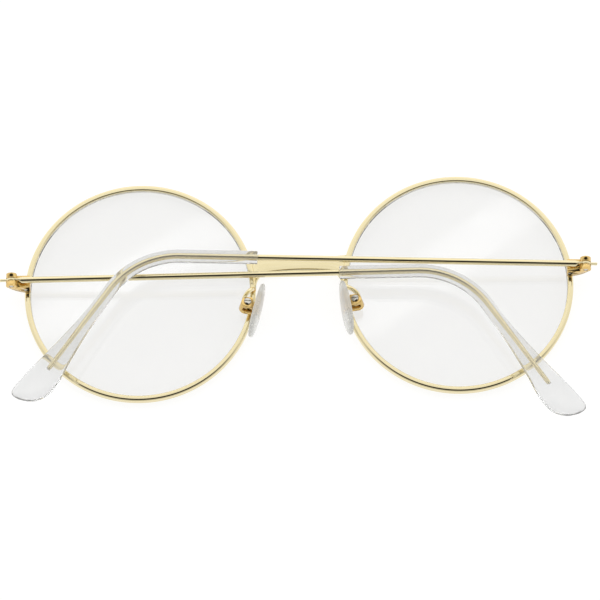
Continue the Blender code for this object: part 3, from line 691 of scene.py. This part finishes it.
@dataclass
class Bridge:
    """The flat strap between the rims, whose ends flare down where they are soldered on."""

    half_spacing: float = 35.5
    rim_reach: float = 25.9
    low: float = 4.25
    high: float = 7.25
    arch: float = 0.35
    flare: float = 3.1
    foot_top: float = 7.7
    foot_bottom: float = 0.1
    thickness: float = 1.15
    edge: float = 0.4
    rim_depth: float = 2.0

    def rim_side(self, y: Any) -> Any:
        """How far from the middle the rim's outside is at a height above the rims' centres."""
        return self.half_spacing - np.sqrt(self.rim_reach**2 - y**2)

    def build(self) -> None:
        """The strap: at each station the lower and upper edges are joined by a straight line,
        which bends to the rim's circle towards the end, and a rounded rectangle runs round it.

        The upper edge rises with the square of the distance. The lower edge sags with it, and
        past the flare's start it follows a quarter of an ellipse down to the foot."""
        end = self.rim_side(self.foot_bottom)
        start = end - self.flare
        turn = np.linspace(0.0, math.pi / 2, 26)
        plain = np.linspace(0.0, 1.0, 10)[:-1]
        low_x = np.concatenate([start * plain, start + self.flare * np.sin(turn)])
        sag = self.low - self.arch
        low_y = np.concatenate(
            [
                self.low - self.arch * plain**2,
                self.foot_bottom + (sag - self.foot_bottom) * np.cos(turn),
            ]
        )
        share = low_x / end
        top_x = self.rim_side(self.foot_top) * share
        top_y = self.high + (self.foot_top - self.high) * share**2
        half = np.hypot(top_x - low_x, top_y - low_y) / 2
        corner = np.full_like(half, self.edge)
        a, z = rounded_rectangle(half, np.full_like(half, self.thickness / 2), corner, 7)
        w = 0.5 + a / (2 * half[:, None])
        x = low_x[:, None] * (1 - w) + top_x[:, None] * w
        y = low_y[:, None] * (1 - w) + top_y[:, None] * w
        chord = end * (1 - w) + self.rim_side(self.foot_top) * w
        bow = share[:, None] ** 6 * (self.rim_side(y) - chord)
        right = xyz(x + bow, y, z + self.rim_depth / 2)
        left = right[::-1] * np.array([-1.0, 1.0, 1.0])
        middle = node_middle("right_rim")
        grid = np.concatenate([left, right[1:]]) * MM + np.array([0.0, middle[1], 0.0])
        dress(skin("bridge_strap", grid), GOLD_WIRE, "front", "gold_plate", "bridge")


# ---------- hinges and temples


@dataclass
class ClosingBlock:
    """The split block behind a rim's split, the screw that closes it and the hinge's screw."""

    side: Side

    def build(self) -> None:
        """Dresses the two cast halves and the two turned screws."""
        dress_machined(
            self.side,
            ("upper_endpiece", GOLD_BLOCK_PAINTED_BOUNCE, "front", "gold_plate"),
            ("lower_endpiece", GOLD_BLOCK_PAINTED_BOUNCE, "front", "gold_plate"),
            ("hinge_screw", STEEL, "front", "screw_steel"),
            ("lock_screw", STEEL, "front", "screw_steel"),
        )


@dataclass
class Temple:
    """A temple: a flat eye on the hinge's screw, a round wire, and a clear tip over its core."""

    side: Side
    rise_deg: float
    straight: float = 90.2
    bend_radius: float = 18.4
    bend_deg: float = 56.2
    past_bend: float = 23.2
    wire_radius: float = 0.7
    core_radius: float = 0.5
    eye_radius: float = 1.15
    eye_bore: float = 0.545
    eye_thickness: float = 0.5
    neck: float = 1.4
    tail_length: float = 2.6
    tail_width: float = 0.8
    mouth: float = 73.0
    bore: float = 0.46
    sleeve: float = 1.45
    sleeve_at_bend: tuple[float, float, float] = (1.40, 1.52, 1.33)
    mouth_flat: float = 0.1
    lip: tuple[float, float] = (0.14, 0.08)
    tip_end: float = 0.14
    tip_squareness: float = 2.3
    eye_around: int = 72
    eye_edge: float = 0.08
    tail_corner: float = 0.14
    neck_squareness: float = 4.0
    neck_root: float = 0.85
    neck_width: float = 0.75
    swell_length: float = 1.0
    shoulder_back: float = 0.05
    shoulder_edge: tuple[float, float] = (0.08, 0.02)
    core_start: float = 0.15
    core_gap: float = 0.07
    fine_end: float = 6.0
    # Stations of the paddle: distance past the bend, outer edge, inner edge, half thickness.
    paddle: tuple[tuple[float, float, float, float], ...] = (
        (0.0, 1.30, 1.60, 1.30),
        (4.0, 1.25, 1.70, 1.25),
        (12.0, 1.70, 2.15, 1.10),
        (19.5, 2.55, 2.95, 1.00),
        (24.8, 3.25, 3.70, 0.95),
        (27.1, 3.50, 3.65, 0.92),
        (29.0, 3.65, 3.10, 0.88),
        (30.6, 3.70, 1.95, 0.80),
        (31.7, 3.55, 0.40, 0.62),
        (32.3, 3.10, -1.10, 0.35),
    )

    @property
    def body(self) -> str:
        """The body that this temple moves with."""
        return self.side.node("temple")

    @property
    def bend_end(self) -> float:
        """How far along the temple its bend ends."""
        return self.straight + self.bend_radius * math.radians(self.bend_deg)

    def placement(self, frame: dict[str, Any]) -> Placement:
        """The pin's place, with X pointing outwards and tipped down by the folded temple's rise,
        and Y along the pin."""
        origin, axis = joint(frame, f"{self.body}_fold")
        up = axis if axis[1] > 0 else -axis
        out = self.side.value * np.cross(up, (0.0, 0.0, 1.0))
        back = np.array([0.0, 0.0, 1.0])
        cos, sin = math.cos(math.radians(self.rise_deg)), math.sin(math.radians(self.rise_deg))
        axes = np.stack([cos * out - sin * back, up, cos * back + sin * out], axis=1)
        return Placement(origin, axes)

    def line(self, distance: Any) -> tuple[Any, Any]:
        """The temple's middle line and the direction of its outer edge.

        It runs along -X, round an arc towards -Y, and straight on. The outer edge's direction is
        (-sine, cosine) of the angle bent so far.

        Args:
            distance: how far along the temple, one value a row.

        Returns:
            Two arrays of rows by three.
        """
        limit = math.radians(self.bend_deg)
        bent = np.clip((distance - self.straight) / self.bend_radius, 0.0, limit)
        past = np.maximum(distance - self.bend_end, 0.0)
        x = (
            -np.minimum(distance, self.straight)
            - self.bend_radius * np.sin(bent)
            - past * np.cos(bent)
        )
        y = -self.bend_radius * (1 - np.cos(bent)) - past * np.sin(bent)
        return xyz(x, y, 0.0), xyz(-np.sin(bent), np.cos(bent), 0.0)

    def sections(self, distance: Any, outer: Any, inner: Any, half: Any, power: Any) -> Any:
        """Superellipses square to the middle line, between an outer and an inner edge.

        Args:
            distance: how far along the temple, one value a row.
            outer: from the middle line to the outer edge.
            inner: from the middle line to the inner edge.
            half: half the thickness.
            power: how square each section is.

        Returns:
            A grid of loops in the drawing, in millimetres.
        """
        point, edge = self.line(distance)
        a, b = superellipse((outer + inner) / 2, half, power, 80)
        centre = point + edge * ((outer - inner) / 2)[:, None]
        thick = np.array([0.0, 0.0, 1.0])
        return centre[:, None] + edge[:, None] * a[..., None] + thick * b[..., None]

    def marks(self, start: float, end: float) -> Any:
        """Distances from start to end, close together through the bend."""
        straight = np.arange(start, self.straight, 2.0)
        bent = np.linspace(self.straight, self.bend_end, 40)
        beyond = np.arange(self.bend_end + 0.3, end, 0.3)
        found = np.concatenate([straight, bent, beyond, [end]])
        return np.unique(found[(found >= start) & (found <= end)].round(6))

    def wire(self, place: Placement) -> Thing:
        """The wire: a flat neck that swells into a round wire over a millimetre, a step down to
        the core at the tip's mouth, and a round end."""
        eye = self.eye_thickness / 2
        swell = np.linspace(0.0, self.swell_length, 12)
        ease = swell * swell * (3 - 2 * swell)
        shoulder = self.mouth - self.shoulder_back
        edge_back, edge_drop = self.shoulder_edge
        end = self.bend_end + self.past_bend
        core = self.marks(shoulder + self.core_start, end - self.core_radius)
        cap = np.sin(np.linspace(0.1, math.pi / 2 - 0.15, 7))
        distance = np.concatenate(
            [
                [0.4 * self.eye_radius],
                self.neck + swell,
                np.arange(4.0, shoulder - 0.2, 3.0),
                [shoulder - edge_back, shoulder],
                core,
                end - self.core_radius * (1 - cap),
            ]
        )
        plain = np.searchsorted(distance, self.neck + self.swell_length, side="right")
        outer = np.full(len(distance), self.wire_radius)
        half = outer.copy()
        power = np.full(len(distance), 2.0)
        outer[0], half[0] = eye, self.neck_root * self.eye_radius
        power[0] = self.neck_squareness
        outer[1:plain] = eye + (self.wire_radius - eye) * ease
        half[1:plain] = self.neck_width * self.eye_radius * (1 - ease) + self.wire_radius * ease
        power[1:plain] = self.neck_squareness + (2.0 - self.neck_squareness) * ease
        thin = distance >= shoulder
        outer[thin] = half[thin] = self.core_radius
        near = distance == shoulder - edge_back
        outer[near] = half[near] = self.wire_radius - edge_drop
        last = len(cap)
        outer[-last:] = half[-last:] = self.core_radius * np.sqrt(1 - cap**2)
        grid = self.sections(distance, outer, outer, half, power)
        piece = skin(self.side.node("wire_and_core"), place.world(grid))
        return dress(piece, GOLD_WIRE, self.body, "gold_plate", self.side.node("temple_wire"))

    def eye(self, place: Placement) -> Thing:
        """The eye: a flat washer about the pin, its rounded section carried round a circle."""
        mid = (self.eye_radius + self.eye_bore) / 2
        wide = (self.eye_radius - self.eye_bore) / 2
        a, b = rounded_rectangle(wide, self.eye_thickness / 2, self.eye_edge, 4)
        grid = turned(mid + a, b, full_turn(self.eye_around).T)[..., [0, 2, 1]]
        piece = skin(self.side.node("temple_eye"), place.world(grid), ring=True)
        return dress(piece, GOLD_WIRE, self.body, "gold_plate")

    def tail(self, place: Placement) -> Thing:
        """The stop behind the eye: a rounded bar that shrinks into its end over a quarter."""
        turn = np.linspace(0.0, math.pi / 2, 6)
        corner = self.tail_corner
        x = np.append(0.7 * self.eye_radius, self.tail_length - corner * (1 - np.sin(turn)))
        less = np.append(0.0, corner * (1 - np.cos(turn)))
        a, b = rounded_rectangle(
            self.eye_thickness / 2 - less, self.tail_width / 2 - less, corner * 1.05 - less, 5
        )
        grid = xyz(x[:, None], a, b)
        piece = skin(self.side.node("temple_stop"), place.world(grid))
        return dress(piece, GOLD_WIRE, self.body, "gold_plate")

    def tip(self, place: Placement) -> Thing:
        """The clear tip as one skin: up the blind bore, round the mouth, and down the outside
        to the paddle's end, whose edges and thickness follow a smooth table."""
        end = self.bend_end + self.past_bend + self.core_gap
        inside = self.marks(self.mouth, end)[::-1]
        bore = np.full(len(inside), self.bore)
        table = np.array(
            [
                (self.mouth, self.sleeve, self.sleeve, self.sleeve - self.mouth_flat),
                (self.straight, *self.sleeve_at_bend),
                *((self.bend_end + s, a, b, c) for s, a, b, c in self.paddle),
            ]
        )
        last = table[-1, 0]
        outside = self.marks(self.mouth, last - self.fine_end)
        fine = np.linspace(last - self.fine_end + 0.2, last, 48)
        outside = np.concatenate([outside, fine])
        outer, inner, half = (smooth_table(outside, table[:, 0], table[:, i]) for i in (1, 2, 3))
        lip_in, lip_back = self.lip
        mouth = [self.mouth, self.mouth + lip_back]
        distance = np.concatenate([inside, mouth, outside[1:], [last + 0.1]])

        def edged(size: Any, closing: float) -> Any:
            """The bore, the rounded lip, one of the outside's sizes, and the closed end."""
            return np.concatenate([bore, [size[0] - lip_in], size, [closing]])

        outer, inner = (edged(size, size[-1] - 0.5) for size in (outer, inner))
        half = edged(half, self.tip_end)
        power = np.concatenate(
            [np.full(len(inside), 2.0), np.full(len(outer) - len(inside), self.tip_squareness)]
        )
        grid = self.sections(distance, outer, inner, half, power)
        piece = skin(self.side.node("clear_tip"), place.world(grid))
        return dress(piece, TIP_PLASTIC, self.body, "tip_plastic", self.side.node("temple_tip"))

    def build(self, frame: dict[str, Any]) -> None:
        """Makes the wire with its eye and stop, and the tip."""
        place = self.placement(frame)
        self.wire(place)
        self.eye(place)
        self.tail(place)
        self.tip(place)


# ---------- nose pads


@dataclass
class NosePad:
    """A silicone pad on its insert, in a clevis on a bent wire from the rim."""

    side: Side
    lean_deg: float
    splay_deg: float
    length: float = 12.8
    width: float = 6.6
    thickness: float = 1.5
    widest: float = 0.35
    back_share: float = 0.86
    egg: float = 0.16
    back_gap: float = 0.04
    dome_power: float = 2.6
    around: int = 72
    setback: float = 1.92
    drop: float = 1.3
    back: float = 1.1
    box_half: float = 1.35
    arm_radius: float = 0.5
    arm_reach: float = 1.6
    arm_foot_down: float = 0.4
    arm_steps: int = 40
    solder_spread: float = 0.2
    solder_height: float = 0.45
    arm_end_out: float = 0.3
    arm_ring: float = 25.15
    rim_depth: float = 2.0
    seat: float = 0.05

    @property
    def body(self) -> str:
        """The body that this pad moves with."""
        return self.side.node("pad")

    def pin(self, frame: dict[str, Any]) -> Placement:
        """The pad screw's place, with its own X outwards and level with the rims' fronts."""
        origin, axis = joint(frame, f"{self.body}_rock")
        across = np.cross((0.0, 1.0, 0.0), axis)
        across /= np.linalg.norm(across)
        up = np.cross(axis, across)
        return Placement(origin, np.stack([self.side.value * across, up, axis], axis=1))

    def pad_placement(self, frame: dict[str, Any]) -> Placement:
        """The pad's own place: leaned towards the brow, splayed, and set back from the pin."""
        pin = self.pin(frame)
        sign = self.side.value
        lean = Matrix.Rotation(sign * math.radians(self.lean_deg), 3, "Z")
        splay = Matrix.Rotation(sign * math.radians(self.splay_deg), 3, "Y")
        turn = np.array(lean @ splay)
        offset = np.array([0.0, -self.drop, self.back]) * MM - pin.axes[:, 0] * self.setback * MM
        return Placement(pin.origin + offset, turn * np.array([sign, 1.0, 1.0]))

    def pad(self, frame: dict[str, Any]) -> Thing:
        """The pad: egg-shaped loops, narrower at the top, that grow over a quarter ellipse to
        the widest depth and shrink over a superellipse of power 2.6 to the domed front."""
        rise = np.sin(np.linspace(0.0, math.pi / 2, 9))
        first = self.back_share + (1 - self.back_share) * np.sqrt(1 - (1 - rise) ** 2)
        dome = np.sin(np.linspace(0.06, math.pi / 2, 22))[:-1]
        second = (1 - dome**self.dome_power) ** (1 / self.dome_power)
        inner = np.linspace(0.05, 0.95, 6) * self.back_share
        scale = np.concatenate([inner, first, second, [0.02]])
        depth = np.concatenate(
            [np.zeros(6), self.widest * rise, self.widest + (1 - self.widest) * dome, [1.0]]
        )
        turn = full_turn(self.around)
        y = self.length / 2 * np.cos(turn) * scale[:, None]
        z = self.width / 2 * (1 - self.egg * np.cos(turn)) * np.sin(turn) * scale[:, None]
        x = self.back_gap - (self.thickness + self.back_gap) * depth[:, None]
        grid = xyz(x, y, z)
        piece = skin(self.side.node("silicone_pad"), self.pad_placement(frame).world(grid))
        return dress(piece, PAD_SILICONE, self.body, "pad_silicone", self.side.node("nose_pad"))

    def arm(self, frame: dict[str, Any]) -> Thing:
        """The arm: circles carried along a cubic from the back of the rim, first straight back,
        then down into the top of the clevis."""
        pin = self.pin(frame)
        rim = node_middle(self.side.node("rim"))
        inset = math.sqrt(self.arm_ring**2 - self.arm_foot_down**2)
        foot = np.array(
            [
                rim[0] - self.side.value * inset * MM,
                rim[1] - self.arm_foot_down * MM,
                (self.rim_depth + self.seat) * MM,
            ]
        )
        end = pin.world(np.array([self.arm_end_out, self.box_half + self.seat, 0.0]))
        reach = self.arm_reach * MM
        hold = np.array(
            [foot, foot + (0.0, 0.0, reach), end + pin.axes[:, 1] * reach, end], float
        )
        t = np.linspace(0.0, 1.0, self.arm_steps)
        weight = [(1 - t) ** 3, 3 * (1 - t) ** 2 * t, 3 * (1 - t) * t**2, t**3]
        line = np.stack(weight, axis=1) @ hold
        along = np.gradient(line, axis=0)
        along /= np.linalg.norm(along, axis=1)[:, None]
        side = np.cross(along, (1.0, 0.0, 0.0))
        side /= np.linalg.norm(side, axis=1)[:, None]
        over = np.cross(along, side)
        radius = np.full(self.arm_steps, self.arm_radius * MM)
        a, b = superellipse(radius, radius, 2.0, 28)
        grid = line[:, None] + side[:, None] * a[..., None] + over[:, None] * b[..., None]
        self.solder(foot)
        piece = skin(self.side.node("pad_arm_wire"), grid)
        return dress(piece, GOLD_WIRE, "front", "gold_plate", self.side.node("pad_arm"))

    def solder(self, foot: Any) -> Thing:
        """The solder about the arm's foot: a ring whose radius falls with the square of the
        height above the rim."""
        share = np.linspace(0.0, 1.0, 8)
        away = (self.arm_radius + 0.02 + self.solder_spread * (1 - share) ** 2) * MM
        grid = turned(away[:, None], (share * self.solder_height * MM)[:, None], full_turn(32))
        base = np.array([foot[0], foot[1], foot[2] - self.seat * MM])
        piece = skin(self.side.node("pad_arm_solder"), grid + base)
        return dress(piece, SOLDER, "front", "gold_plate")

    def build(self, frame: dict[str, Any]) -> None:
        """Makes the pad and the arm, and dresses the clevis, the insert and the screw."""
        self.pad(frame)
        self.arm(frame)
        dress_machined(
            self.side,
            ("pad_box", GOLD_BLOCK_PAINTED_BOUNCE, "front", "gold_plate"),
            ("pad_screw", STEEL, "front", "screw_steel"),
            ("pad_insert", GOLD_BLOCK_PAINTED_BOUNCE, self.body, "screw_steel"),
        )


# ---------- studio


@dataclass
class Studio:
    """A pale floor in a white tent with a slit for the camera, and strip lights overhead."""

    elevation_deg: float = 69.0
    roll_deg: float = 1.66
    distance: float = 0.7
    focal_mm: float = 187.7
    aim_mm: tuple[float, float] = (0.22, -2.55)
    floor_radius: float = 3.0
    strip_height: float = 0.9
    strip_power: float = 2.0
    floor_steps: int = 96
    floor_glow: float = 0.86
    floor_gloss: tuple[float, float] = (0.75, 0.9)
    # The slit: how much narrower it is across, where its soft edge starts and ends, its light.
    slit_across: float = 0.8
    slit_edge: tuple[float, float] = (0.4, 0.58)
    slit_light: float = 0.02
    # The tent's light at the chin and at the brow.
    wall_light: tuple[float, float] = (0.5, 1.3)
    # Corners of each strip's mirror image, from the lens's centre: low left, high left,
    # high right, low right.
    strips: tuple[tuple[Side, tuple[tuple[float, float], ...]], ...] = (
        (Side.LEFT, ((-36.0, -17.4), (-38.0, -8.8), (30.0, 27.7), (36.0, 20.0))),
        (Side.RIGHT, ((-36.0, -22.8), (-36.0, -10.9), (26.0, 31.9), (32.0, 25.1))),
    )

    def axes(self) -> tuple[Any, Any, Any]:
        """The camera's right, up and backward directions, with its roll."""
        tilt, roll = math.radians(self.elevation_deg), math.radians(self.roll_deg)
        level = np.array([1.0, 0.0, 0.0])
        rising = np.array([0.0, math.sin(tilt), math.cos(tilt)])
        right = math.cos(roll) * level - math.sin(roll) * rising
        up = math.sin(roll) * level + math.cos(roll) * rising
        return right, up, np.array([0.0, -math.cos(tilt), math.sin(tilt)])

    def eye_point(self) -> Any:
        """Where the camera stands."""
        right, up, back = self.axes()
        rim = node_middle("right_rim")
        target = np.array([0.0, rim[1], rim[2]])
        aim = target + right * self.aim_mm[0] * MM + up * self.aim_mm[1] * MM
        return aim + back * self.distance

    def camera(self) -> None:
        """Makes the scene's camera."""
        right, up, back = self.axes()
        data = bpy.data.cameras.new("camera")
        data.lens = self.focal_mm
        data.sensor_width = 36.0
        data.clip_start, data.clip_end = 0.01, 50.0
        made = bpy.data.objects.new("camera", data)
        turn = Matrix([(right[i], up[i], back[i]) for i in range(3)])
        made.matrix_world = Matrix.Translation(Vector(self.eye_point())) @ turn.to_4x4()
        bpy.context.scene.collection.objects.link(made)
        bpy.context.scene.camera = made

    def tent(self) -> None:
        """The world: brighter towards +Y, with a dark slit round the camera's direction."""
        world = bpy.data.worlds.new("light_tent")
        bpy.context.scene.world = world
        world.use_nodes = True
        tree = world.node_tree
        tree.nodes.clear()
        tilt = math.radians(self.elevation_deg)
        way = add_node(tree, "TexCoord", {}).outputs["Generated"]
        parts = {}
        for name, direction in {
            "side": (self.slit_across, 0.0, 0.0),
            "over": (0.0, math.sin(tilt), math.cos(tilt)),
            "ahead": (0.0, -math.cos(tilt), math.sin(tilt)),
            "brow": (0.0, 1.0, 0.0),
        }.items():
            dot = add_node(tree, "VectorMath", {0: way, 1: direction}, operation="DOT_PRODUCT")
            parts[name] = dot.outputs["Value"]
        flat = add_node(tree, "CombineXYZ", {"X": parts["side"], "Y": parts["over"]})
        away = add_node(tree, "VectorMath", {0: flat.outputs[0]}, operation="LENGTH")
        behind = add_node(tree, "Math", {0: parts["ahead"], 1: 0.0}, operation="LESS_THAN")
        reach = add_node(
            tree,
            "Math",
            {0: away.outputs["Value"], 1: behind.outputs[0]},
            operation="ADD",
        )
        slit = ramp(tree, reach.outputs[0], 0.0, 1.0, *self.slit_edge, "SMOOTHSTEP")
        wall = ramp(tree, parts["brow"], *self.wall_light, -1.0)
        light = add_node(tree, "Mix", {0: slit, 2: self.slit_light, 3: wall}, data_type="FLOAT")
        sky = add_node(
            tree,
            "Background",
            {"Color": linear("#FFFEFB"), "Strength": light.outputs[0]},
        )
        output = tree.nodes.new("ShaderNodeOutputWorld")
        tree.links.new(sky.outputs[0], output.inputs["Surface"])

    def floor(self) -> None:
        """The floor: a wide disc, matt white and a little lit from below."""
        away = np.array([[0.01], [0.3], [1.0], [self.floor_radius]])
        grid = turned(away, -0.05 * MM, full_turn(self.floor_steps))
        bottom = grid[::-1] - np.array([0.0, 0.0, 2 * MM])
        piece = skin("floor", np.concatenate([grid, bottom]))
        made, tree, output = fresh("white_acrylic_sheet")
        noise = add_node(
            tree,
            "TexNoise",
            {"Vector": coordinates(tree, "Object", (8.0, 8.0, 8.0)), "Scale": 1.0},
        )
        gloss = ramp(tree, noise.outputs["Fac"], *self.floor_gloss)
        sheet = add_node(
            tree,
            "BsdfPrincipled",
            {
                "Base Color": linear("#8C8C8B"),
                "Roughness": gloss,
                "Specular IOR Level": 0.2,
                "Emission Color": linear("#FFFFFF"),
                "Emission Strength": self.floor_glow,
            },
        )
        tree.links.new(sheet.outputs[0], output.inputs["Surface"])
        piece.data.materials.append(made)

    def strip(self, rim: RimAndLens, corners: tuple[tuple[float, float], ...]) -> None:
        """A strip light placed by the law of reflection, so that its image lies across a lens.

        The ray from the camera to each corner is turned back about the lens's own normal there,
        and followed up to the strip's height.

        Args:
            rim: the lens that mirrors it.
            corners: the image's corners from the lens's centre, in millimetres.
        """
        flat = np.array(corners)
        height = rim.lens_height(np.hypot(flat[:, 0], flat[:, 1]), rim.lens_thickness / 2)
        point = np.column_stack([flat, height]) * MM + rim.origin()
        normal = np.column_stack([-flat / rim.lens_curve, np.ones(len(flat))])
        normal /= np.linalg.norm(normal, axis=1)[:, None]
        ray = point - self.eye_point()
        back = ray - 2 * np.sum(ray * normal, axis=1)[:, None] * normal
        far = point + back * ((self.strip_height - point[:, 2]) / back[:, 2])[:, None]
        mesh = bpy.data.meshes.new(rim.side.node("strip_light"))
        mesh.from_pydata(far.tolist(), [], [(0, 1, 2, 3)])
        piece = bpy.data.objects.new(mesh.name, mesh)
        bpy.context.scene.collection.objects.link(piece)
        piece.visible_camera = piece.visible_diffuse = piece.visible_shadow = False
        made, tree, output = fresh(mesh.name)
        lamp = add_node(
            tree,
            "Emission",
            {"Color": linear("#FFFFFF"), "Strength": self.strip_power},
        )
        tree.links.new(lamp.outputs[0], output.inputs["Surface"])
        mesh.materials.append(made)

    def build(self, rims: list[RimAndLens]) -> None:
        """Sets the stage about the object."""
        bpy.context.scene.view_settings.view_transform = "Standard"
        self.tent()
        self.floor()
        self.camera()
        by_side = {rim.side: rim for rim in rims}
        for side, corners in self.strips:
            self.strip(by_side[side], corners)


def main() -> None:
    """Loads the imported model, builds every sub-assembly on it, and sets the studio."""
    logging.basicConfig(level=logging.INFO, format="%(name)s: %(message)s")
    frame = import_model()
    rims = [RimAndLens(side) for side in Side]
    for rim in rims:
        rim.build()
    Bridge().build()
    settings = ((Side.RIGHT, 1.652, 8.0, 9.0), (Side.LEFT, 1.3, 15.0, 1.0))
    for side, rise, lean, splay in settings:
        ClosingBlock(side).build()
        Temple(side, rise).build(frame)
        NosePad(side, lean, splay).build(frame)
    Studio().build(rims)


if __name__ == "__main__":
    main()
